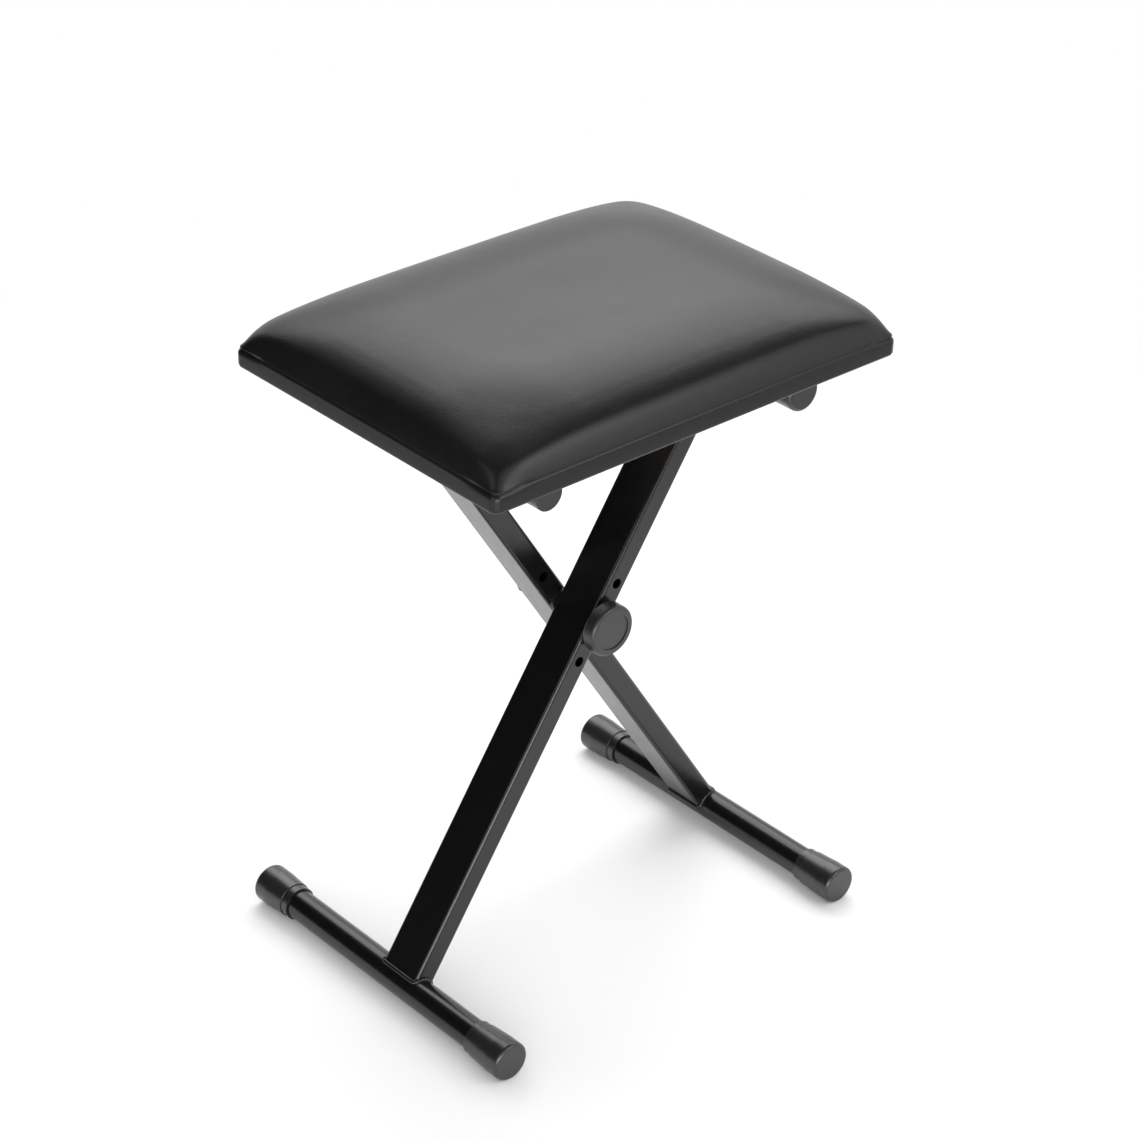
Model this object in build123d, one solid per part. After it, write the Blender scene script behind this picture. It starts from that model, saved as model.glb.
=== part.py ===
from build123d import *
import math
import os

# A folding keyboard bench on two crossed legs, in millimetres.
# The origin is on the floor under the middle of the seat.
# +X runs along the seat, +Y along the foot tubes and +Z up.
# The front leg has its foot at -X and lies on the -Y side of the rear leg, whose foot is at +X.
# Side -1 is the front leg's or the -Y end, side +1 is the rear leg's or the +Y end.

# Legs: two flat steel tubes that cross side by side on one bolt
leg_width = 40.0
leg_depth = 20.0
leg_wall = 1.5
leg_corner_radius = 3.0
leg_gap = 4.0
leg_height = 466.0
stance_width = 360.0
height_hole_pitch = 34.0
height_hole_clearance = 0.3

# Foot tubes and their slip-on caps
foot_tube_diameter = 25.0
foot_tube_wall = 1.5
foot_tube_length = 300.0
cap_collar_wall = 1.65
cap_shoulder_wall = 2.45
cap_wall = 3.75
cap_collar_length = 7.0
cap_taper_length = 20.0
cap_body_length = 14.0
cap_end_wall = 4.0
cap_edge_radius = 3.0
cap_shoulder_radius = 0.5
cap_flat_depth = 0.5
cap_fit = 0.05

# Seat bars: the rear one carries the seat's hinge, the front one drops out of the seat's hooks
bar_diameter = 25.0
bar_wall = 1.5
rear_bar_inset = 27.0
front_bar_inset = 28.0
plug_flange = 1.2
plug_stem_length = 16.0
plug_fit = 0.05
boot_wall = 2.95
boot_length = 20.0
boot_end_wall = 4.0
boot_edge_radius = 3.0
boot_fit = 0.05

# Bolt through the crossing, with a hex head on the rear leg and the knob on the front leg
bolt_diameter = 8.0
bolt_head_flats = 13.0
bolt_head_height = 5.3
bolt_tip_chamfer = 0.8
running_fit = 0.08
face_gap = 0.1
sleeve_room = 1.5
spacer_diameter = 22.0
washer_diameter = 20.0
washer_thickness = 1.6
washer_clearance = 0.2

# Hand knob
knob_diameter = 43.0
knob_thickness = 12.0
knob_collar_diameter = 30.0
knob_collar_length = 4.0
knob_front_radius = 3.0
knob_back_radius = 1.5
knob_rim = 6.0
knob_dish_depth = 1.8
knob_cap_thickness = 1.0
knob_cap_fit = 0.1
insert_wall = 2.0
insert_cover = 1.2
insert_fit = 0.02
bolt_end_room = 0.5

# Seat: a board, a foam pad and a vinyl cover whose hem is stapled under the board
seat_length = 400.0
seat_width = 300.0
seat_corner_radius = 6.0
board_thickness = 12.0
cover_thickness = 1.0
cover_gap = 0.2
cushion_edge = 0.8
crown_rise = 43.3
crown_flat_width = 100.0
crown_flat_straight = 10.0
crown_edge_power = 0.39
crown_sections = 8
section_spacing_power = 2.2
hem_width = 30.0

# Staples in the hem
staple_width = 10.0
staple_wire_width = 1.2
staple_wire_thickness = 0.6
staple_leg = 7.0
staple_spacing = 40.0

# Hinge on the rear bar: a moulded saddle held by a steel strap
strap_width = 20.0
strap_thickness = 2.0
strap_ear = 17.0
strap_inset = 33.0
strap_bend_radius = 1.5
saddle_wall = 8.0
saddle_low_edge = 6.0

# Hooks for the front bar, open towards the rear bar so that it can drop out when the bench folds
hook_width = 24.0
hook_wall = 4.0
hook_bar_gap = 0.3
hook_base_thickness = 5.0
hook_ear = 17.0
hook_hem_room = 9.0
hook_boot_room = 2.0
hook_inner_lift = 40.0
hook_outer_wrap = 20.0

# Wood screws of the straps and hooks
screw_diameter = 4.0
screw_thread_depth = 0.4
screw_tip_cover = 3.0
screw_head_diameter = 8.0
screw_head_height = 2.4
screw_hole_clearance = 0.3
screw_edge_distance = 8.0

# Sizes and places worked out from the sizes above
bar_radius = bar_diameter / 2
bar_to_board = bar_radius + saddle_wall
strap_bore = bar_radius + running_fit
strap_reach = strap_bore + strap_thickness + strap_ear
hook_bore = bar_radius + hook_bar_gap
hook_reach = hook_bore + hook_wall + hook_ear
bar_offset = seat_length / 2 - hem_width - hook_hem_room - hook_reach
lean = math.atan2(stance_width / 2 + bar_offset, leg_height)
lower_leg = stance_width / 2 / math.sin(lean)
upper_leg = bar_offset / math.sin(lean)
cap_bore = foot_tube_diameter / 2 + cap_fit
cap_length = cap_collar_length + cap_taper_length + cap_body_length
foot_height = cap_bore + cap_wall - cap_flat_depth
pivot_height = foot_height + lower_leg * math.cos(lean)
bar_height = foot_height + leg_height
leg_offset = (leg_width + leg_gap) / 2
leg_outer_face = leg_offset + leg_width / 2
rear_bar_length = seat_width - 2 * rear_bar_inset
front_bar_length = seat_width - 2 * front_bar_inset
boot_grip = boot_length - boot_end_wall
strap_middle = rear_bar_length / 2 - strap_inset
hook_middle = front_bar_length / 2 - boot_grip - hook_boot_room - hook_width / 2
board_underside = bar_height + bar_to_board
hem_underside = board_underside - cover_thickness
board_inset = cover_thickness + cover_gap
side_height = cover_thickness + board_thickness + cushion_edge + board_inset
crown_reach = (seat_width - crown_flat_width) / 2
height_hole_radius = bolt_diameter / 2 + height_hole_clearance
running_bore = bolt_diameter / 2 + running_fit
sleeve_diameter = leg_depth - 2 * (leg_wall + sleeve_room)
knob_length = knob_collar_length + knob_thickness
knob_dish_diameter = knob_diameter - 2 * knob_rim
knob_back = -leg_outer_face - washer_thickness - face_gap
knob_dish_floor = knob_back - knob_length + knob_dish_depth
insert_diameter = 2 * (running_bore + insert_wall)
insert_length = knob_length - knob_dish_depth - insert_cover
screw_bite = board_thickness - screw_tip_cover
screw_pilot_radius = screw_diameter / 2 - screw_thread_depth
screw_hole_radius = screw_diameter / 2 + screw_hole_clearance
END_NAMES = {-1: "near", 1: "far"}
LEG_NAMES = {-1: "front", 1: "rear"}


def rod_along_y(radius, start, end, x, z):
    """A round bar from y = start to y = end."""
    return Pos(x, (start + end) / 2, z) * Rot(90, 0, 0) * Cylinder(radius, abs(end - start))


def ring_along_y(outer_radius, bore_radius, start, end, x, z):
    """A round bar with a hole along its axis."""
    return rod_along_y(outer_radius, start, end, x, z) - rod_along_y(bore_radius, start, end, x, z)


def end_plane(side, y, x, z):
    """A plane across the Y axis whose normal points out of the given end."""
    return Plane(origin=(x, y, z), x_dir=(1, 0, 0), z_dir=(0, side, 0))


def extrude_along_y(sketch, middle, width, x, z):
    """A sketch of the XZ plane, about the point (x, z), made as wide as given about y = middle."""
    place = Plane(origin=(x, middle, z), x_dir=(1, 0, 0), z_dir=(0, -1, 0))
    return extrude(place * sketch, width / 2, both=True)


def foot_x(side):
    return side * stance_width / 2


def bar_x(side):
    return -side * bar_offset


def leg_tube(side):
    """A leg, coped to its foot tube and its seat bar, with holes for the bolt's three height settings."""
    length = lower_leg + upper_leg
    outer = RectangleRounded(leg_depth, leg_width, leg_corner_radius)
    inner_depth = leg_depth - 2 * leg_wall
    inner_width = leg_width - 2 * leg_wall
    inner = RectangleRounded(inner_depth, inner_width, leg_corner_radius - leg_wall)
    tube = extrude(outer - inner, length)
    for step in (-1, 0, 1):
        height = lower_leg + step * height_hole_pitch
        tube -= Pos(0, 0, height) * Rot(90, 0, 0) * Cylinder(height_hole_radius, 2 * leg_width)
    tube = Pos(foot_x(side), side * leg_offset, foot_height) * Rot(0, -side * math.degrees(lean), 0) * tube
    tube -= rod_along_y(foot_tube_diameter / 2, -leg_outer_face, leg_outer_face, foot_x(side), foot_height)
    tube -= rod_along_y(bar_radius, -leg_outer_face, leg_outer_face, bar_x(side), bar_height)
    return tube


def foot_tube(side):
    radius = foot_tube_diameter / 2
    half = foot_tube_length / 2
    return ring_along_y(radius, radius - foot_tube_wall, -half, half, foot_x(side), foot_height)


def foot_cap(leg_side, end):
    """A moulded cap on the foot tube: a collar, a shoulder, a widening body and a flat for the floor."""
    collar = extrude(Circle(cap_bore + cap_collar_wall), cap_collar_length)
    shoulder = Plane.XY.offset(cap_collar_length) * Circle(cap_bore + cap_shoulder_wall)
    widest = Plane.XY.offset(cap_collar_length + cap_taper_length) * Circle(cap_bore + cap_wall)
    taper = loft([shoulder, widest])
    taper = fillet(taper.edges().group_by(Axis.Z)[0], cap_shoulder_radius)
    body = extrude(widest, cap_body_length)
    body = fillet(body.edges().group_by(Axis.Z)[-1], cap_edge_radius)
    bore = extrude(Circle(cap_bore), cap_length - cap_end_wall)
    mouth = foot_tube_length / 2 - cap_length + cap_end_wall
    cap = end_plane(end, end * mouth, foot_x(leg_side), foot_height) * (collar + taper + body - bore)
    room = 2 * (cap_bore + cap_wall)
    floor = Pos(foot_x(leg_side), end * foot_tube_length / 2, -room / 2)
    return cap - floor * Box(room, 4 * cap_length, room)


def seat_bar(side, length):
    return ring_along_y(bar_radius, bar_radius - bar_wall, -length / 2, length / 2, bar_x(side), bar_height)


def bar_plug(end):
    """A flush plug in the end of the rear bar."""
    stem = extrude(Circle(bar_radius - bar_wall - plug_fit), -plug_stem_length)
    flange = extrude(Circle(bar_radius), plug_flange)
    flange = fillet(flange.edges().sort_by(Axis.Z)[-1], plug_flange / 2)
    return end_plane(end, end * rear_bar_length / 2, bar_x(1), bar_height) * (stem + flange)


def bar_boot(end):
    """A soft boot over the end of the front bar."""
    boot = extrude(Circle(bar_radius + boot_fit + boot_wall), boot_length)
    boot = fillet(boot.edges().sort_by(Axis.Z)[-1], boot_edge_radius)
    boot -= extrude(Circle(bar_radius + boot_fit), boot_grip)
    mouth = front_bar_length / 2 - boot_grip
    return end_plane(end, end * mouth, bar_x(-1), bar_height) * boot


def pivot_bolt():
    """The bolt: a hex head outside the rear leg and a plain shank that ends inside the knob."""
    head_back = leg_outer_face + washer_thickness
    shank_end = knob_dish_floor + bolt_end_room
    head = extrude(RegularPolygon(bolt_head_flats / 2, 6, major_radius=False), bolt_head_height)
    shank = extrude(Circle(bolt_diameter / 2), -(head_back - shank_end))
    shank = chamfer(shank.edges().sort_by(Axis.Z)[0], bolt_tip_chamfer)
    return end_plane(1, head_back, 0, pivot_height) * (head + shank)


def bolt_ring(diameter, start, end, bore_radius):
    """A sleeve, spacer or washer on the bolt."""
    return ring_along_y(diameter / 2, bore_radius, start, end, 0, pivot_height)


def crush_sleeve(side):
    """The sleeve that keeps the bolt from crushing a leg."""
    half = leg_width / 2 - leg_wall
    return bolt_ring(sleeve_diameter, side * leg_offset - half, side * leg_offset + half, running_bore)


def knob_body():
    """The moulded knob: a collar, a round disc with eased edges and a dished face."""
    collar = extrude(Circle(knob_collar_diameter / 2), knob_collar_length)
    disc = extrude(Plane.XY.offset(knob_collar_length) * Circle(knob_diameter / 2), knob_thickness)
    disc = fillet(disc.edges().sort_by(Axis.Z)[-1], knob_front_radius)
    disc = fillet(disc.edges().sort_by(Axis.Z)[0], knob_back_radius)
    dish_plane = Plane.XY.offset(knob_length - knob_dish_depth)
    dish = extrude(dish_plane * Circle(knob_dish_diameter / 2), knob_dish_depth)
    insert_hole = extrude(Circle(insert_diameter / 2 + insert_fit), insert_length)
    bolt_hole = extrude(Circle(running_bore), knob_length)
    return end_plane(-1, knob_back, 0, pivot_height) * (collar + disc - dish - insert_hole - bolt_hole)


def knob_insert():
    return bolt_ring(insert_diameter, knob_back, knob_back - insert_length, running_bore)


def knob_cap():
    """The disc that closes the dish of the knob."""
    radius = knob_dish_diameter / 2 - knob_cap_fit
    return rod_along_y(radius, knob_dish_floor, knob_dish_floor - knob_cap_thickness, 0, pivot_height)


def crown_share(inset):
    """How much of the crown's rise is reached at a distance in from a side of the seat, from 0 to 1."""
    return (1 - (1 - inset / crown_reach) ** 2) ** crown_edge_power


def crown_inset(share):
    """The distance in from a side of the seat at which this share of the crown's rise is reached."""
    return crown_reach * (1 - math.sqrt(1 - share ** (1 / crown_edge_power)))


def crown_corner(inset):
    """The corner radius of the crown's level line at an inset.

    The crown rises by the product of its shares from the two sides, so its corners are lower than its
    sides, and a level line passes a corner where each share is the square root of the line's own.
    """
    corner_at_top = (crown_flat_width - crown_flat_straight) / 2
    least = seat_corner_radius + (corner_at_top - seat_corner_radius) * inset / crown_reach
    corner_cut = crown_inset(math.sqrt(crown_share(inset))) - inset
    return max(least, corner_cut / (1 - math.sqrt(0.5)))


def seat_outline(inset, corner_radius, height):
    """The seat's rounded outline, drawn in by an inset, at a height over the cover's lower edge."""
    outline = RectangleRounded(seat_length - 2 * inset, seat_width - 2 * inset, corner_radius)
    return Plane.XY.offset(hem_underside + height) * outline


def crowned_form(skin, base):
    """The seat's form from a base height up, drawn in by a skin's thickness all over."""
    sections = []
    for step in range(crown_sections + 1):
        inset = crown_reach * (step / crown_sections) ** section_spacing_power
        height = side_height + crown_rise * crown_share(inset)
        sections.append(seat_outline(skin + inset, crown_corner(inset) - skin, height - skin))
    side = extrude(seat_outline(skin, seat_corner_radius - skin, base), side_height - skin - base)
    middle = crown_sections // 2
    return side + loft(sections[:middle + 1]) + loft(sections[middle:])


def seat_cover():
    """The vinyl skin, from the crown down the board's edge and under it as a hem."""
    inside = crowned_form(cover_thickness, cover_thickness)
    opening_corner = seat_corner_radius - cover_thickness
    opening = extrude(seat_outline(hem_width, opening_corner, 0), cover_thickness)
    return crowned_form(0, 0) - inside - opening


def seat_foam():
    return crowned_form(board_inset, cover_thickness + board_thickness)


def bracket_screw_places():
    """Where the wood screws go, as x and y: those of the straps, then those of the hooks."""
    strap_hole = strap_reach - screw_edge_distance
    hook_hole = hook_reach - screw_edge_distance
    straps = [(bar_x(1) + turn * strap_hole, end * strap_middle) for turn in (-1, 1) for end in (-1, 1)]
    hooks = [(bar_x(-1) + turn * hook_hole, end * hook_middle) for turn in (-1, 1) for end in (-1, 1)]
    return straps, hooks


def screw_holes(places, radius):
    """Upright round holes at the given places, from below the brackets to the screws' full depth."""
    depth = bar_to_board + screw_bite
    low = board_underside - bar_to_board
    return [Pos(x, y, low + depth / 2) * Cylinder(radius, depth) for x, y in places]


def seat_board():
    straps, hooks = bracket_screw_places()
    outline = seat_outline(board_inset, seat_corner_radius - board_inset, cover_thickness)
    board = extrude(outline, board_thickness)
    for hole in screw_holes(straps + hooks, screw_pilot_radius):
        board -= hole
    return board


def screw_group(places, bracket_thickness):
    """Round-head wood screws, up through a bracket into the board."""
    screws = []
    for x, y in places:
        seat = board_underside - bracket_thickness
        head = extrude(Circle(screw_head_diameter / 2), -screw_head_height)
        head = fillet(head.edges().sort_by(Axis.Z)[0], screw_head_height / 2)
        shank = extrude(Circle(screw_diameter / 2), bracket_thickness + screw_bite)
        screws.append(Pos(x, y, seat) * (head + shank))
    return Compound(children=screws)


def hinge_strap(end):
    """The steel strap that goes under the rear bar, with an ear on each side against the board."""
    straps, hooks = bracket_screw_places()
    outer_radius = strap_bore + strap_thickness
    ears = Pos(0, bar_to_board - strap_thickness / 2) * Rectangle(2 * strap_reach, strap_thickness)
    outside = Circle(outer_radius) + Pos(0, bar_to_board / 2) * Rectangle(2 * outer_radius, bar_to_board)
    inside = Circle(strap_bore) + Pos(0, bar_to_board / 2) * Rectangle(2 * strap_bore, bar_to_board)
    strap = extrude_along_y(outside + ears - inside, end * strap_middle, strap_width, bar_x(1), bar_height)
    bends = strap.edges().filter_by(Axis.Y).group_by(Axis.Z)[-2]
    strap = fillet(bends.sort_by(Axis.X)[1:-1], strap_bend_radius)
    for hole in screw_holes(straps, screw_hole_radius):
        strap -= hole
    return strap


def hinge_saddle(end):
    """The moulded block between the rear bar and the board, inside the strap."""
    middle = (saddle_low_edge + bar_to_board) / 2
    block = Pos(0, middle) * Rectangle(2 * strap_bore, bar_to_board - saddle_low_edge)
    profile = block - Circle(strap_bore)
    return extrude_along_y(profile, end * strap_middle, strap_width, bar_x(1), bar_height)


def bar_hook(end):
    """The moulded hook that rests on the front bar and reaches round its outer side."""
    straps, hooks = bracket_screw_places()
    outer_radius = hook_bore + hook_wall
    far = 2 * bar_to_board
    inner_angle = math.radians(180 - hook_inner_lift)
    outer_angle = math.radians(-hook_outer_wrap)
    way_out = make_face(Polyline(
        (0, 0),
        (far * math.cos(inner_angle), far * math.sin(inner_angle)),
        (-far, -far),
        (far, -far),
        (far * math.cos(outer_angle), far * math.sin(outer_angle)),
        close=True,
    ))
    head = Circle(outer_radius) + Pos(0, bar_to_board / 2) * Rectangle(2 * outer_radius, bar_to_board)
    base = Pos(0, bar_to_board - hook_base_thickness / 2) * Rectangle(2 * hook_reach, hook_base_thickness)
    profile = head - way_out + base - Circle(hook_bore)
    hook = extrude_along_y(profile, end * hook_middle, hook_width, bar_x(-1), bar_height)
    for hole in screw_holes(hooks, screw_hole_radius):
        hook -= hole
    return hook


def staple(x, y, angle):
    """One wire staple, its crown under the hem and its two legs up in the board."""
    crown = Box(staple_width, staple_wire_width, staple_wire_thickness)
    wire = Pos(0, 0, -staple_wire_thickness / 2) * crown
    for turn in (-1, 1):
        leg_x = turn * (staple_width - staple_wire_thickness) / 2
        leg = Box(staple_wire_thickness, staple_wire_width, staple_leg)
        wire += Pos(leg_x, 0, staple_leg / 2) * leg
    return Pos(x, y, hem_underside) * Rot(0, 0, angle) * wire


def staple_row(length):
    """Places of a row of staples along a side of the seat, clear of the corners."""
    usable = length - 2 * (hem_width + seat_corner_radius)
    count = int(usable // staple_spacing)
    return [(place - count / 2) * staple_spacing for place in range(count + 1)]


def cover_staples():
    edge_x = (seat_length - hem_width) / 2
    edge_y = (seat_width - hem_width) / 2
    staples = [staple(x, turn * edge_y, 0) for x in staple_row(seat_length) for turn in (-1, 1)]
    staples += [staple(turn * edge_x, y, 90) for y in staple_row(seat_width) for turn in (-1, 1)]
    return Compound(children=staples)


def all_parts():
    """Every piece of the bench by its name."""
    parts = {}
    for side, leg in LEG_NAMES.items():
        parts[leg + "_leg_tube"] = leg_tube(side)
        parts[leg + "_foot_tube"] = foot_tube(side)
        parts[leg + "_leg_sleeve"] = crush_sleeve(side)
        for end, name in END_NAMES.items():
            parts[leg + "_foot_cap_" + name] = foot_cap(side, end)
    parts["rear_seat_bar"] = seat_bar(1, rear_bar_length)
    parts["front_seat_bar"] = seat_bar(-1, front_bar_length)
    for end, name in END_NAMES.items():
        parts["rear_bar_plug_" + name] = bar_plug(end)
        parts["front_bar_boot_" + name] = bar_boot(end)
        parts["hinge_strap_" + name] = hinge_strap(end)
        parts["hinge_saddle_" + name] = hinge_saddle(end)
        parts["bar_hook_" + name] = bar_hook(end)
    washer_bore = bolt_diameter / 2 + washer_clearance
    parts["pivot_bolt"] = pivot_bolt()
    parts["bolt_washer"] = bolt_ring(
        washer_diameter, leg_outer_face, leg_outer_face + washer_thickness, washer_bore)
    parts["leg_spacer"] = bolt_ring(spacer_diameter, face_gap - leg_gap / 2, leg_gap / 2, running_bore)
    parts["knob_washer"] = bolt_ring(
        washer_diameter, -leg_outer_face, -leg_outer_face - washer_thickness, washer_bore)
    parts["knob_body"] = knob_body()
    parts["knob_insert"] = knob_insert()
    parts["knob_cap"] = knob_cap()
    straps, hooks = bracket_screw_places()
    parts["seat_board"] = seat_board()
    parts["seat_foam"] = seat_foam()
    parts["seat_cover"] = seat_cover()
    parts["cover_staples"] = cover_staples()
    parts["strap_screws"] = screw_group(straps, strap_thickness)
    parts["hook_screws"] = screw_group(hooks, hook_base_thickness)
    return parts


os.makedirs("parts", exist_ok=True)
for node, shape in all_parts().items():
    export_step(shape, "parts/" + node + ".step")
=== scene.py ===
import math

import bmesh
import bpy
import numpy as np
from mathutils import Matrix, Vector
from mathutils.kdtree import KDTree


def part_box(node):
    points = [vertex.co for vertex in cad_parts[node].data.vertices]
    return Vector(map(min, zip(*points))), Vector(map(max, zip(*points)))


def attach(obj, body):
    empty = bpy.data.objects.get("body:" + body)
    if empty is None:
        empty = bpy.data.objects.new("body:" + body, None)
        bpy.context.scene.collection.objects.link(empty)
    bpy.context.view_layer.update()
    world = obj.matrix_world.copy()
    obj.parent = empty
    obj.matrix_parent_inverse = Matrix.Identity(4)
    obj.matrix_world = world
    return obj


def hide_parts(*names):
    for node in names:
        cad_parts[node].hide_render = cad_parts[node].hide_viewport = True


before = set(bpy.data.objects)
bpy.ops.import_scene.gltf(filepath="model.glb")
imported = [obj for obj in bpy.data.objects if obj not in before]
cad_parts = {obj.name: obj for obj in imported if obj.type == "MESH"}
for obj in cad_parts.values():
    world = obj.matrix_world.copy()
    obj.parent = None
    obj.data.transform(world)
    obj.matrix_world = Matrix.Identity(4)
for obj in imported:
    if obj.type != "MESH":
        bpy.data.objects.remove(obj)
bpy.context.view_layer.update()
scene = bpy.context.scene

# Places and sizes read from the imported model, in metres.
cover_low, cover_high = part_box("seat_cover")
board_low, board_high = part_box("seat_board")
seat_length = cover_high.x - cover_low.x
seat_width = cover_high.y - cover_low.y
seat_height = cover_high.z - cover_low.z
hem_thickness = board_low.z - cover_low.z
board_top = board_high.z - cover_low.z


# Camera and studio

def add_camera():
    """The photograph's viewpoint: its angles, its distance and its lens."""
    azimuth = math.radians(-42.28)
    elevation = math.radians(30.28)
    roll = math.radians(1.49)
    distance = 2.5294
    picture_width = 1140
    focal_length_in_pixels = 3187.07
    aim = Vector((0.02369, 0.01806, 0.30063))
    level = math.cos(elevation)
    back = Vector((math.sin(azimuth) * level, -math.cos(azimuth) * level, math.sin(elevation)))
    right = Vector((0, 0, 1)).cross(back).normalized()
    up = back.cross(right)
    turned_right = math.cos(roll) * right + math.sin(roll) * up
    turned_up = math.cos(roll) * up - math.sin(roll) * right
    camera = bpy.data.objects.new("camera", bpy.data.cameras.new("camera"))
    camera.data.sensor_width = 36.0
    camera.data.lens = camera.data.sensor_width * focal_length_in_pixels / picture_width
    place = Matrix((turned_right, turned_up, back)).transposed().to_4x4()
    place.translation = aim + back * distance
    camera.matrix_world = place
    scene.collection.objects.link(camera)
    scene.camera = camera


def shown_rays(tree):
    """1 for what is seen, straight or in a reflection or through glass, and 0 for light on a surface."""
    ray = tree.nodes.new("ShaderNodeLightPath")
    seen = ray.outputs["Is Camera Ray"]
    for way in ("Is Glossy Ray", "Is Transmission Ray"):
        either = tree.nodes.new("ShaderNodeMath")
        either.operation = "MAXIMUM"
        tree.links.new(seen, either.inputs[0])
        tree.links.new(ray.outputs[way], either.inputs[1])
        seen = either.outputs[0]
    return seen


def light_world(fill_strength):
    """A white studio: white where it is seen or mirrored, and a soft fill on what is lit."""
    world = bpy.data.worlds.new("studio")
    scene.world = world
    world.use_nodes = True
    tree = world.node_tree
    fill = tree.nodes["Background"]
    fill.inputs["Color"].default_value = (1, 1, 1, 1)
    fill.inputs["Strength"].default_value = fill_strength
    white = tree.nodes.new("ShaderNodeBackground")
    white.inputs["Color"].default_value = (1, 1, 1, 1)
    white.inputs["Strength"].default_value = 1.0
    mix = tree.nodes.new("ShaderNodeMixShader")
    tree.links.new(shown_rays(tree), mix.inputs["Fac"])
    tree.links.new(fill.outputs[0], mix.inputs[1])
    tree.links.new(white.outputs[0], mix.inputs[2])
    tree.links.new(mix.outputs[0], tree.nodes["World Output"].inputs["Surface"])


def add_softbox(name, place, aim, width, height, power):
    """A soft light, out of the camera's sight, that looks from its place towards the aim."""
    light = bpy.data.lights.new(name, "AREA")
    light.shape = "RECTANGLE"
    light.size = width
    light.size_y = height
    light.energy = power
    softbox = bpy.data.objects.new(name, light)
    softbox.location = place
    softbox.rotation_euler = (Vector(aim) - Vector(place)).to_track_quat("-Z", "Y").to_euler()
    softbox.visible_camera = False
    scene.collection.objects.link(softbox)


def flat_stage(name, corners, material):
    """One flat face that belongs to the studio and not to the bench."""
    mesh = bpy.data.meshes.new(name)
    mesh.from_pydata([tuple(corner) for corner in corners], [], [tuple(range(len(corners)))])
    mesh.materials.append(material)
    piece = bpy.data.objects.new(name, mesh)
    scene.collection.objects.link(piece)
    return piece


def add_floor():
    """A wide round floor at height zero."""
    reach = 12.0
    corners = 64
    turns = [2 * math.pi * corner / corners for corner in range(corners)]
    rim = [(reach * math.cos(turn), reach * math.sin(turn), 0) for turn in turns]
    flat_stage("floor", rim, floor_paper())


def add_card(name, corners, grey):
    """A card out of sight, which the paint and the vinyl mirror as black or as a grey."""
    card = flat_stage(name, corners, card_paper(name, grey))
    card.visible_camera = False
    card.visible_diffuse = False
    card.visible_transmission = False
    card.visible_shadow = False


def add_upright_card(name, side, distance, width, low, high):
    """A black card that stands on one side of the bench and faces it, between two heights."""
    side = Vector(side).normalized()
    along = Vector((side.y, -side.x, 0))
    near = distance * side - width / 2 * along
    far = distance * side + width / 2 * along
    ends = [(near, low), (far, low), (far, high), (near, high)]
    add_card(name, [place + Vector((0, 0, height)) for place, height in ends], grey=0.0)


def add_level_card(name, outline, height, grey=0.0):
    """A card that lies level at a height, with its outline given in plan."""
    add_card(name, [Vector((x, y, height)) for x, y in outline], grey)


def add_cards():
    """Black cards on the left, at the camera and round the back light, and grey ones on the floor."""
    add_upright_card("left_card", side=(-0.72, 0.69, 0), distance=1.5, width=2.2, low=0.002, high=1.9)
    add_upright_card("camera_card", side=(-0.673, -0.740, 0), distance=2.0, width=1.4, low=0.64, high=2.4)
    outer = [(-1.3, 1.7), (-1.3, -0.95), (2.2, -0.95)]
    inner = [(2.2, 0.0), (1.15, 0.0), (0.0, 1.10), (0.0, 1.7)]
    add_level_card("overhead_card", outer + inner, height=1.9)
    just_over_floor = 0.003
    front = [(0.0, -0.66), (1.8, -0.66), (1.8, -2.0), (0.0, -2.0)]
    add_level_card("front_card", front, just_over_floor, grey=0.40)
    left = [(-0.62, 0.1), (-0.62, 1.5), (-1.6, 1.5), (-1.6, 0.1)]
    add_level_card("left_floor_card", left, just_over_floor, grey=0.50)


# Material helpers

def new_material(name, colour, roughness, metallic=0.0):
    material = bpy.data.materials.new(name)
    material.use_nodes = True
    shader = material.node_tree.nodes["Principled BSDF"]
    shader.inputs["Base Color"].default_value = (*colour, 1)
    shader.inputs["Roughness"].default_value = roughness
    shader.inputs["Metallic"].default_value = metallic
    return material


def shader_of(material):
    return material.node_tree.nodes["Principled BSDF"]


def piece_space(material, stretch=(1, 1, 1)):
    """Coordinates that stay with the piece, stretched along its axes."""
    tree = material.node_tree
    place = tree.nodes.new("ShaderNodeTexCoord")
    mapping = tree.nodes.new("ShaderNodeMapping")
    mapping.inputs["Scale"].default_value = stretch
    tree.links.new(place.outputs["Object"], mapping.inputs["Vector"])
    return mapping.outputs["Vector"]


def noise(material, per_metre, detail=3.0, stretch=(1, 1, 1)):
    """Cloudy noise with this many lumps to a metre."""
    tree = material.node_tree
    texture = tree.nodes.new("ShaderNodeTexNoise")
    texture.inputs["Scale"].default_value = per_metre
    texture.inputs["Detail"].default_value = detail
    tree.links.new(piece_space(material, stretch), texture.inputs["Vector"])
    return texture.outputs["Fac"]


def cells(material, per_metre):
    """Pebbled cells with this many to a metre."""
    tree = material.node_tree
    texture = tree.nodes.new("ShaderNodeTexVoronoi")
    texture.inputs["Scale"].default_value = per_metre
    tree.links.new(piece_space(material), texture.inputs["Vector"])
    return texture.outputs["Distance"]


def spread(material, value, low, high):
    """The value, taken from 0..1 to low..high."""
    tree = material.node_tree
    stretch = tree.nodes.new("ShaderNodeMapRange")
    stretch.inputs["To Min"].default_value = low
    stretch.inputs["To Max"].default_value = high
    tree.links.new(value, stretch.inputs["Value"])
    return stretch.outputs["Result"]


def vary_roughness(material, value, low, high):
    tree = material.node_tree
    tree.links.new(spread(material, value, low, high), shader_of(material).inputs["Roughness"])


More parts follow.
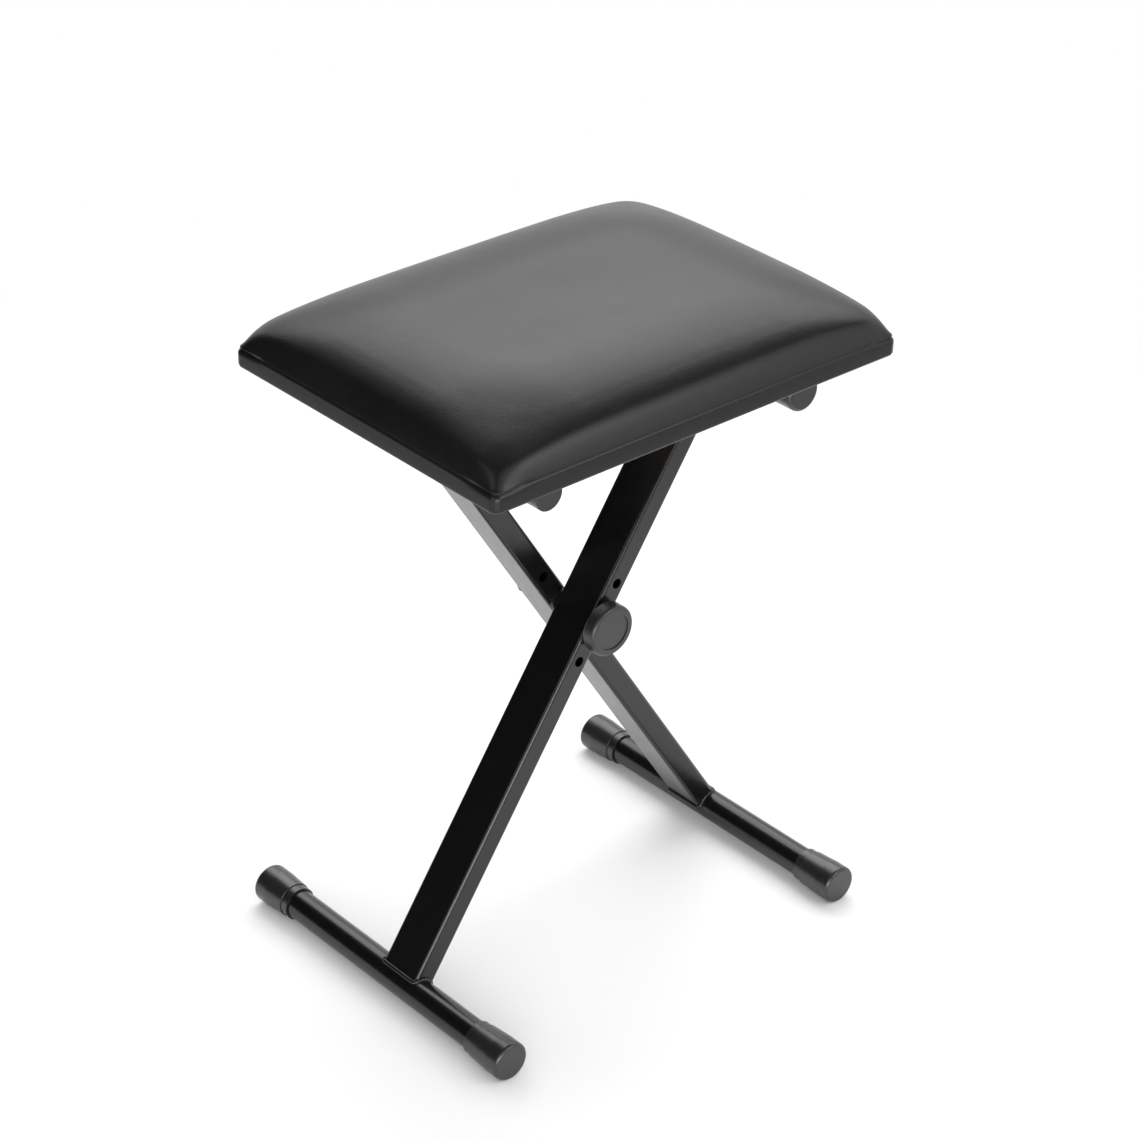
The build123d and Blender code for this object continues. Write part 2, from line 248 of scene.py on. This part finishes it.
def vary_colour(material, value, dark, light):
    """A colour between dark and light, by the value."""
    tree = material.node_tree
    mix = tree.nodes.new("ShaderNodeMix")
    mix.data_type = "RGBA"
    tree.links.new(value, mix.inputs["Factor"])
    colours = [socket for socket in mix.inputs if socket.type == "RGBA"]
    for socket, colour in zip(colours, (dark, light)):
        socket.default_value = (*colour, 1)
    mixed = [socket for socket in mix.outputs if socket.type == "RGBA"][0]
    tree.links.new(mixed, shader_of(material).inputs["Base Color"])


def add_bump(material, value, depth):
    """Relief of this depth in metres, on top of any relief that the material has already."""
    tree = material.node_tree
    normal = shader_of(material).inputs["Normal"]
    bump = tree.nodes.new("ShaderNodeBump")
    bump.inputs["Distance"].default_value = depth
    bump.inputs["Strength"].default_value = 1.0
    if normal.is_linked:
        tree.links.new(normal.links[0].from_socket, bump.inputs["Normal"])
    tree.links.new(value, bump.inputs["Height"])
    tree.links.new(bump.outputs["Normal"], normal)


# Materials

def floor_paper():
    """White paper that takes the bench's shadow, and fades to the white background further out."""
    fade_start = 0.45
    fade_end = 1.30
    material = new_material("floor_paper", (0.93, 0.93, 0.93), 0.9)
    vary_colour(material, noise(material, 3.0), (0.92, 0.92, 0.92), (0.94, 0.94, 0.94))
    tree = material.node_tree
    white = tree.nodes.new("ShaderNodeEmission")
    white.inputs["Color"].default_value = (1, 1, 1, 1)
    white.inputs["Strength"].default_value = 1.0
    distance = tree.nodes.new("ShaderNodeVectorMath")
    distance.operation = "LENGTH"
    tree.links.new(piece_space(material), distance.inputs[0])
    fade = tree.nodes.new("ShaderNodeMapRange")
    fade.interpolation_type = "SMOOTHSTEP"
    fade.inputs["From Min"].default_value = fade_start
    fade.inputs["From Max"].default_value = fade_end
    tree.links.new(distance.outputs["Value"], fade.inputs["Value"])
    seen = tree.nodes.new("ShaderNodeMath")
    seen.operation = "MULTIPLY"
    tree.links.new(fade.outputs["Result"], seen.inputs[0])
    tree.links.new(shown_rays(tree), seen.inputs[1])
    mix = tree.nodes.new("ShaderNodeMixShader")
    tree.links.new(seen.outputs[0], mix.inputs["Fac"])
    tree.links.new(shader_of(material).outputs[0], mix.inputs[1])
    tree.links.new(white.outputs[0], mix.inputs[2])
    tree.links.new(mix.outputs[0], tree.nodes["Material Output"].inputs["Surface"])
    return material


def card_paper(name, grey):
    """Paper that shows as the same grey whatever light falls on it."""
    material = new_material(name, (0, 0, 0), 1.0)
    shader = shader_of(material)
    shader.inputs["Specular IOR Level"].default_value = 0
    shader.inputs["Emission Color"].default_value = (grey, grey, grey, 1)
    shader.inputs["Emission Strength"].default_value = 1.0
    return material


def black_vinyl():
    """Soft black upholstery vinyl with a fine pebbled grain."""
    material = new_material("black_vinyl", (0.007, 0.007, 0.0075), 0.33)
    shader_of(material).inputs["Specular IOR Level"].default_value = 0.36
    clouds = noise(material, 35.0)
    vary_colour(material, clouds, (0.0055, 0.0055, 0.006), (0.0085, 0.0085, 0.009))
    vary_roughness(material, clouds, 0.30, 0.36)
    add_bump(material, noise(material, 60.0, detail=2.0), 0.00008)
    add_bump(material, cells(material, 900.0), 0.00005)
    return material


def black_paint():
    """Glossy black powder coat with its faint orange peel."""
    material = new_material("black_paint", (0.004, 0.004, 0.0045), 0.22)
    vary_roughness(material, noise(material, 120.0), 0.18, 0.28)
    add_bump(material, noise(material, 420.0, detail=1.0), 0.00002)
    return material


def moulded_plastic(name, grey, rough, gloss):
    """Black moulded plastic with a spark-eroded skin."""
    dark = (grey, grey, grey * 1.04)
    light = (grey * 1.5, grey * 1.5, grey * 1.56)
    material = new_material(name, dark, rough)
    shader_of(material).inputs["Specular IOR Level"].default_value = gloss
    vary_colour(material, noise(material, 80.0), dark, light)
    vary_roughness(material, noise(material, 300.0), rough - 0.06, rough + 0.06)
    add_bump(material, noise(material, 2200.0, detail=2.0), 0.00003)
    return material


def zinc_steel():
    """Bright zinc-plated steel with faint drawing lines."""
    material = new_material("zinc_steel", (0.62, 0.63, 0.65), 0.32, metallic=1.0)
    clouds = noise(material, 400.0)
    vary_colour(material, clouds, (0.52, 0.53, 0.54), (0.66, 0.67, 0.70))
    vary_roughness(material, noise(material, 900.0), 0.25, 0.42)
    add_bump(material, noise(material, 1500.0, stretch=(1, 0.1, 1)), 0.00002)
    return material


def insert_brass():
    material = new_material("insert_brass", (0.72, 0.56, 0.28), 0.3, metallic=1.0)
    vary_colour(material, noise(material, 500.0), (0.60, 0.45, 0.20), (0.76, 0.60, 0.32))
    vary_roughness(material, noise(material, 900.0), 0.24, 0.40)
    return material


def board_wood():
    """Plywood: long grain along the seat, with pores and a few darker streaks."""
    material = new_material("board_wood", (0.25, 0.20, 0.15), 0.65)
    streaks = noise(material, 90.0, detail=6.0, stretch=(0.05, 1, 1))
    vary_colour(material, streaks, (0.18, 0.145, 0.105), (0.31, 0.25, 0.19))
    vary_roughness(material, streaks, 0.55, 0.75)
    add_bump(material, noise(material, 900.0, detail=4.0, stretch=(0.03, 1, 1)), 0.00015)
    return material


# Mesh helpers

# How finely a ring is divided: in each corner's arc, and in the straight runs along X and along Y.
arc_steps = 14
long_steps = 60
short_steps = 44


def rounded_ring(half_x, half_y, radius):
    """Points round a rounded rectangle and their outward directions, the same count for every size.

    Each corner's arc comes first and then the straight run to the next corner.
    """
    points = []
    outward = []
    signs = [(1, 1), (-1, 1), (-1, -1), (1, -1)]
    centres = [np.array((x * (half_x - radius), y * (half_y - radius))) for x, y in signs]
    for quarter, centre in enumerate(centres):
        for step in range(arc_steps + 1):
            angle = math.radians(90 * (quarter + step / arc_steps))
            direction = np.array((math.cos(angle), math.sin(angle)))
            points.append(centre + radius * direction)
            outward.append(direction)
        start = points[-1]
        end = centres[(quarter + 1) % 4] + radius * direction
        steps = short_steps if quarter % 2 else long_steps
        for step in range(1, steps):
            points.append(start + (end - start) * step / steps)
            outward.append(direction)
    return np.array(points), np.array(outward)


def ring_faces(ring, following, count):
    """The faces between two rings of points, by the places of their first points."""
    pairs = [(place, (place + 1) % count) for place in range(count)]
    return [(ring + one, ring + two, following + two, following + one) for one, two in pairs]


def fill_grid(ring, ring_start, first_new, rise):
    """Points and faces that close a rounded ring with a grid, which domes by the given rise."""
    count = len(ring)
    columns = 2 * arc_steps + long_steps
    opposite = columns + 2 * arc_steps + long_steps + short_steps

    def place(column, row):
        if row == 0:
            return ring_start + column
        if row == short_steps:
            return ring_start + opposite - column
        if column == 0:
            return ring_start + (count - row) % count
        if column == columns:
            return ring_start + columns + row
        return first_new + (column - 1) * (short_steps - 1) + row - 1

    points = []
    for column in range(1, columns):
        for row in range(1, short_steps):
            share = row / short_steps
            point = ring[column] * (1 - share) + ring[opposite - column] * share
            dome = (math.sin(math.pi * share) * math.sin(math.pi * column / columns)) ** 2
            points.append(point + np.array((0, 0, rise * dome)))
    faces = []
    for column in range(columns):
        for row in range(short_steps):
            corners = ((column, row), (column + 1, row), (column + 1, row + 1), (column, row + 1))
            faces.append(tuple(place(*corner) for corner in corners))
    return points, faces


def smooth_mesh(name, points, faces):
    mesh = bpy.data.meshes.new(name)
    mesh.from_pydata([tuple(point) for point in points], [], faces)
    shape = bmesh.new()
    shape.from_mesh(mesh)
    bmesh.ops.recalc_face_normals(shape, faces=shape.faces)
    shape.to_mesh(mesh)
    shape.free()
    mesh.polygons.foreach_set("use_smooth", [True] * len(mesh.polygons))
    return mesh


def closed_skin(name, rings, rise):
    """A skin over rounded rings, closed by a flat grid in the first and a domed one in the last."""
    count = len(rings[0])
    last = (len(rings) - 1) * count
    faces = []
    for ring in range(len(rings) - 1):
        faces += ring_faces(ring * count, (ring + 1) * count, count)
    points = list(np.concatenate(rings))
    for ring, ring_start, dome in ((rings[0], 0, 0), (rings[-1], last, rise)):
        new_points, new_faces = fill_grid(ring, ring_start, len(points), dome)
        points += new_points
        faces += new_faces
    return smooth_mesh(name, points, faces)


def closed_tube(name, rings):
    """A skin over rings of points, the last joined to the first."""
    count = len(rings[0])
    faces = []
    for ring in range(len(rings)):
        faces += ring_faces(ring * count, (ring + 1) % len(rings) * count, count)
    return smooth_mesh(name, np.concatenate(rings), faces)


def add_piece(name, mesh, material, body):
    mesh.materials.append(material)
    piece = bpy.data.objects.new(name, mesh)
    scene.collection.objects.link(piece)
    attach(piece, body)
    return piece


def subdivide(piece, levels):
    finer = piece.modifiers.new("finer", "SUBSURF")
    finer.levels = levels
    finer.render_levels = levels


# Seat cushion: its heights are over the hem's underside, its insets are from the seat's outline

corner_radius = 0.006

# The hem under the board, and the fold at the board's lower edge.
hem_width = 0.030
hem_raggedness = 0.0010
pleat_depth = 0.0009
pleat_half_waves = 5
fold_radius = 0.0022
fold_pleat = 0.0004

# The straight band round the side, which rolls in over the board at each corner.
band_height = 0.0150
band_lift = 0.0015
band_lean = 0.0006
band_crease = 0.0001
crease_fade = 0.020
roll_base = board_top - 0.0005
corner_tuck = 0.0020
corner_dip = 0.0005
tuck_flat = 0.006
tuck_fade = 0.026
tuck_evenness = 0.85

# The domed top.
crown_reach = 0.100
crown_corner = 0.028
crown_corner_growth = 1.2
crown_edge_power = 0.39
crown_join = 0.008
crown_start_slope = 4.0
crown_top_rise = 0.0008

# The cloth simulation, and the room that the start shape leaves it.
swell_voxel = 0.005
swell_pressure = 4.0
swell_frames = 20
swell_limit = 0.0025
swell_room = 0.0024
swell_room_start = 0.004
swell_edge_gain = 2.2
swell_fade = 0.035


def smooth_crown_share(inset):
    """How much of the crown's rise is reached at a distance in from one side, from 0 to 1."""
    return (1 - (1 - np.clip(inset / crown_reach, 0, 1)) ** 2) ** crown_edge_power


def crown_share(inset):
    """The same, but with the crown rising straight from the top of the side band at its edge."""
    rise = seat_height - band_height
    step = 1e-4
    join = smooth_crown_share(crown_join)
    step_rise = smooth_crown_share(crown_join + step) - smooth_crown_share(crown_join - step)
    join_slope = step_rise / (2 * step)
    part = np.clip(inset / crown_join, 0, 1)
    edge = (2 * part ** 3 - 3 * part ** 2 + 1) * band_lift / rise
    edge += (part ** 3 - 2 * part ** 2 + part) * crown_join * crown_start_slope / rise
    edge += (3 * part ** 2 - 2 * part ** 3) * join
    edge += (part ** 3 - part ** 2) * crown_join * join_slope
    return np.where(inset < crown_join, edge, smooth_crown_share(inset))


def eased_inset(inset, other):
    """The inset from one side, made less near a corner, where the crown is rounder than the band."""
    away = 1 - np.clip(other / crown_corner, 0, 1)
    set_back = crown_corner * (1 - np.sqrt(1 - away ** 2))
    least_inset = 1e-6
    inset = np.maximum(inset, least_inset)
    return inset ** 2 / (inset + set_back)


def crown_height(points):
    """Height of the cushion's top over the hem's underside at points in plan, lower at its corners."""
    end_inset = seat_length / 2 - np.abs(points[:, 0])
    side_inset = seat_width / 2 - np.abs(points[:, 1])
    from_ends = crown_share(eased_inset(end_inset, side_inset))
    from_sides = crown_share(eased_inset(side_inset, end_inset))
    both = from_ends * from_sides
    return band_height + (seat_height - band_height) * both / (from_ends + from_sides - both)


def seat_ring(inset, radius):
    """Points in plan round the seat at an inset, and their outward directions."""
    return rounded_ring(seat_length / 2 - inset, seat_width / 2 - inset, radius)


def cushion_ring(inset, height, out=0.0, radius=corner_radius):
    """One ring round the seat, at heights over the hem's underside, pushed out by a little."""
    points, outward = seat_ring(inset, radius)
    points = points + outward * np.reshape(out, (-1, 1))
    heights = cover_low.z + np.broadcast_to(height, len(points))
    return np.column_stack((points, heights))


def ring_places():
    """For each point of a ring: how far it is from a corner's arc, and how far round that arc, or -1."""
    from_corner = []
    round_arc = []
    for quarter in range(4):
        from_corner += [0.0] * (arc_steps + 1)
        round_arc += [step / arc_steps for step in range(arc_steps + 1)]
        steps = short_steps if quarter % 2 else long_steps
        length = (seat_width if quarter % 2 else seat_length) - 2 * corner_radius
        from_corner += [length * min(step, steps - step) / steps for step in range(1, steps)]
        round_arc += [-1.0] * (steps - 1)
    return np.array(from_corner), np.array(round_arc)


def hem_rings(pleat, on_arc):
    """The hem under the board, from its cut edge out, with pleats gathered at the corners.

    The skin's middle is hidden: it lies inside the board.
    """
    along = np.arange(len(pleat))
    long_wave = np.sin(along * 0.37)
    short_wave = np.sin(along * 0.91 + 1.0)
    ragged = hem_raggedness * (long_wave + 0.6 * short_wave)
    inside_board = hem_thickness * 1.6
    hidden_insets = (0.100, 0.060, hem_width + 0.002)
    rings = [cushion_ring(inset, inside_board) for inset in hidden_insets]
    rings.append(cushion_ring(hem_width, inside_board, ragged))
    for inset in np.linspace(hem_width, fold_radius * 1.5, 7):
        gathers = pleat * pleat_depth * (1 - inset / hem_width) - fold_pleat * on_arc
        edge = ragged if inset == hem_width else 0.0
        rings.append(cushion_ring(inset, gathers, edge))
    return rings


def side_rings(pleat, tucked, near_corner):
    """The fold at the board's lower edge and the band up its side, with a crease at the top."""
    rings = []
    for turn in np.radians(np.linspace(0, 90, 5)):
        inset = fold_radius * (1 - math.sin(turn))
        rings.append(cushion_ring(inset, fold_radius * (1 - math.cos(turn)), pleat * fold_pleat))
    outline = seat_ring(0, corner_radius)[0]
    band = crown_height(outline) - corner_dip * tucked
    for share in np.linspace(0.15, 0.90, 8):
        height = fold_radius + (band - fold_radius) * share
        roll = corner_tuck * tucked * np.clip((height - roll_base) / (band - roll_base), 0, 1)
        lean = band_lean * share + pleat * fold_pleat * (1 - share)
        rings.append(cushion_ring(0, height, lean - roll))
    crease = band_crease * (1 + near_corner)
    tuck = corner_tuck * tucked
    just_under_top = (0.97, 0.6, 0.9)
    top = (1, 1, 1)
    for rise, creased, drawn_in in (just_under_top, top):
        rings.append(cushion_ring(0, band * rise, -crease * creased - tuck * drawn_in))
    return rings


def crown_rings():
    """The domed top, from the side band in to its flattest part, rounder at its corners than the band."""
    rings = []
    for share in np.linspace(0.06, 1, 30):
        inset = crown_reach * share ** 2
        roundest = 0.9 * (seat_width / 2 - inset)
        radius = min(corner_radius + crown_corner_growth * inset, roundest)
        points = seat_ring(inset, radius)[0]
        swollen_edge = swell_edge_gain * math.exp(-inset / swell_fade)
        room = swell_room * (1 - swollen_edge) * min(1, inset / swell_room_start)
        rings.append(cushion_ring(inset, crown_height(points) - room, radius=radius))
    return rings


def cushion_rings():
    """The cushion's skin from inside the hem, round the board's edge and over the domed top."""
    from_corner, round_arc = ring_places()
    on_arc = np.where(round_arc >= 0, np.sin(math.pi * np.clip(round_arc, 0, 1)) ** 2, 0)
    pleat = on_arc * np.sin(round_arc * pleat_half_waves * math.pi)
    near_corner = np.exp(-from_corner / crease_fade)
    fall = np.clip((from_corner - tuck_flat) / tuck_fade, 0, 1)
    tucked = tuck_evenness * (1 - 3 * fall ** 2 + 2 * fall ** 3) + (1 - tuck_evenness) * on_arc
    return hem_rings(pleat, on_arc) + side_rings(pleat, tucked, near_corner) + crown_rings()


def swell(piece, held_below, most):
    """Blows the piece up as cloth under pressure, on a remeshed copy whose moves it then follows."""
    cage = piece.copy()
    cage.data = piece.data.copy()
    scene.collection.objects.link(cage)
    remesh = cage.modifiers.new("even", "REMESH")
    remesh.mode = "VOXEL"
    remesh.voxel_size = swell_voxel
    even = bpy.data.meshes.new_from_object(cage.evaluated_get(bpy.context.evaluated_depsgraph_get()))
    cage.modifiers.clear()
    cage.data = even
    before = np.array([vertex.co for vertex in even.vertices])
    edges = np.array([edge.vertices for edge in even.edges])
    held = cage.vertex_groups.new(name="held")
    held.add([int(place) for place in np.flatnonzero(before[:, 2] < held_below)], 1.0, "ADD")
    cloth = cage.modifiers.new("cloth", "CLOTH")
    cloth.settings.vertex_group_mass = held.name
    cloth.settings.use_pressure = True
    cloth.settings.uniform_pressure_force = swell_pressure
    cloth.settings.effector_weights.gravity = 0.0
    for step in range(1, swell_frames + 1):
        scene.frame_set(step)
    blown = cage.evaluated_get(bpy.context.evaluated_depsgraph_get()).to_mesh()
    moves = np.array([vertex.co for vertex in blown.vertices]) - before
    scene.frame_set(1)
    bpy.data.objects.remove(cage)
    least_length = 1e-9
    lengths = np.maximum(np.linalg.norm(moves, axis=1, keepdims=True), least_length)
    moves *= np.minimum(1, most / lengths)
    follow(piece, before, evened(moves, edges))


def evened(moves, edges):
    """The moves of a mesh's points, each drawn towards its neighbours' mean over and over."""
    rounds = 150
    neighbours = np.maximum(np.bincount(edges.ravel(), minlength=len(moves)), 1)[:, None]
    for step in range(rounds):
        sums = np.zeros_like(moves)
        np.add.at(sums, edges[:, 0], moves[edges[:, 1]])
        np.add.at(sums, edges[:, 1], moves[edges[:, 0]])
        moves = (moves + sums / neighbours) / 2
    return moves


def follow(piece, before, moves):
    """Moves each of the piece's points as the nearest points of the copy moved."""
    nearest = 12
    softening = 0.006
    tree = KDTree(len(before))
    for place, point in enumerate(before):
        tree.insert(point, place)
    tree.balance()
    for vertex in piece.data.vertices:
        found = tree.find_n(vertex.co, nearest)
        weights = np.array([1 / (distance + softening) for point, place, distance in found])
        carried = np.array([moves[place] for point, place, distance in found])
        vertex.co += Vector(weights @ carried / weights.sum())
    piece.data.update()


def seat_cushion():
    """The padded vinyl seat over its board, with the hem folded under it."""
    mesh = closed_skin("seat_cushion", cushion_rings(), crown_top_rise)
    cushion = add_piece("seat_cushion", mesh, black_vinyl(), "seat")
    swell(cushion, cover_low.z + band_height + band_lift, swell_limit)
    subdivide(cushion, 1)
    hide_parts("seat_foam", "seat_cover")


# Weld beads

leg_depth = 0.020
leg_corner = 0.003
bead_radius = 0.0022
bead_sides = 10
ripple_length = 0.0032
ripple_share = 0.10


def tube_axis(tube):
    """The middle of a round tube that lies along Y, and its radius."""
    low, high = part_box(tube)
    return np.array((low + high) / 2), (high.z - low.z) / 2


def weld_path(leg, tube, other_tube):
    """Where a leg's outside meets a round tube: points round the leg, and the outward direction at each."""
    leg_low, leg_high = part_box(leg)
    start, tube_radius = tube_axis(tube)
    far_end = tube_axis(other_tube)[0]
    along = (far_end - start) * (1, 0, 1)
    along /= np.linalg.norm(along)
    sideways = np.array((0, 1, 0))
    across = np.cross(sideways, along)
    start[1] = (leg_low.y + leg_high.y) / 2
    places, directions = rounded_ring(leg_depth / 2, (leg_high.y - leg_low.y) / 2, leg_corner)
    rise = np.sqrt(tube_radius ** 2 - places[:, 0] ** 2)
    path = start + places[:, :1] * across + places[:, 1:] * sideways + rise[:, None] * along
    return path, directions[:, :1] * across + directions[:, 1:] * sideways


def weld_bead(name, leg, tube, other_tube, body, material):
    """The rippled weld where a leg's end sits on a round tube."""
    path, outward = weld_path(leg, tube, other_tube)
    turns = [2 * math.pi * side / bead_sides for side in range(bead_sides)]
    rings = []
    length = 0.0
    for place, point in enumerate(path):
        ahead = path[(place + 1) % len(path)] - path[place - 1]
        ahead /= np.linalg.norm(ahead)
        out = outward[place] - ahead * (outward[place] @ ahead)
        out /= np.linalg.norm(out)
        beside = np.cross(ahead, out)
        length += np.linalg.norm(point - path[place - 1])
        radius = bead_radius * (1 + ripple_share * math.sin(2 * math.pi * length / ripple_length))
        rings.append(np.array([point + radius * (math.cos(t) * out + math.sin(t) * beside) for t in turns]))
    mesh = closed_tube(name, rings)
    bead = add_piece(name, mesh, material, body)
    subdivide(bead, 1)


def add_weld_beads(material):
    for side in ("front", "rear"):
        leg = f"{side}_leg_tube"
        foot = f"{side}_foot_tube"
        bar = f"{side}_seat_bar"
        body = f"{side}_leg_frame"
        weld_bead(f"{side}_foot_weld", leg, foot, bar, body, material)
        weld_bead(f"{side}_bar_weld", leg, bar, foot, body, material)


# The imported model's own pieces

def finish_packed_pieces():
    """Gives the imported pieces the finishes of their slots, apart from those that the cushion replaces."""
    finishes = {
        "black_paint": black_paint(),
        "cap_plastic": moulded_plastic("cap_plastic", grey=0.009, rough=0.30, gloss=0.75),
        "knob_plastic": moulded_plastic("knob_plastic", grey=0.012, rough=0.36, gloss=0.65),
        "bracket_plastic": moulded_plastic("bracket_plastic", grey=0.006, rough=0.30, gloss=0.50),
        "zinc_steel": zinc_steel(),
        "insert_brass": insert_brass(),
        "board_wood": board_wood(),
    }
    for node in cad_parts.values():
        slot = node.material_slots[0]
        name = slot.material.name.split(".")[0]
        if name in finishes:
            slot.material = finishes[name]
    return finishes


scene.view_settings.view_transform = "Standard"
add_camera()
light_world(fill_strength=0.82)
add_floor()
add_cards()
add_softbox("back_light", (1.2, 1.2, 2.0), aim=(1.2, 1.2, 0), width=2.4, height=2.4, power=43)
add_softbox("front_light", (0.45, -1.20, 0.93), aim=(-0.12, -0.15, 0.53), width=0.6, height=0.7, power=3.2)
add_softbox("low_light", (-0.85, -1.22, 0.30), aim=(0, 0, 0.30), width=1.2, height=0.45, power=11)
finishes = finish_packed_pieces()
seat_cushion()
add_weld_beads(finishes["black_paint"])
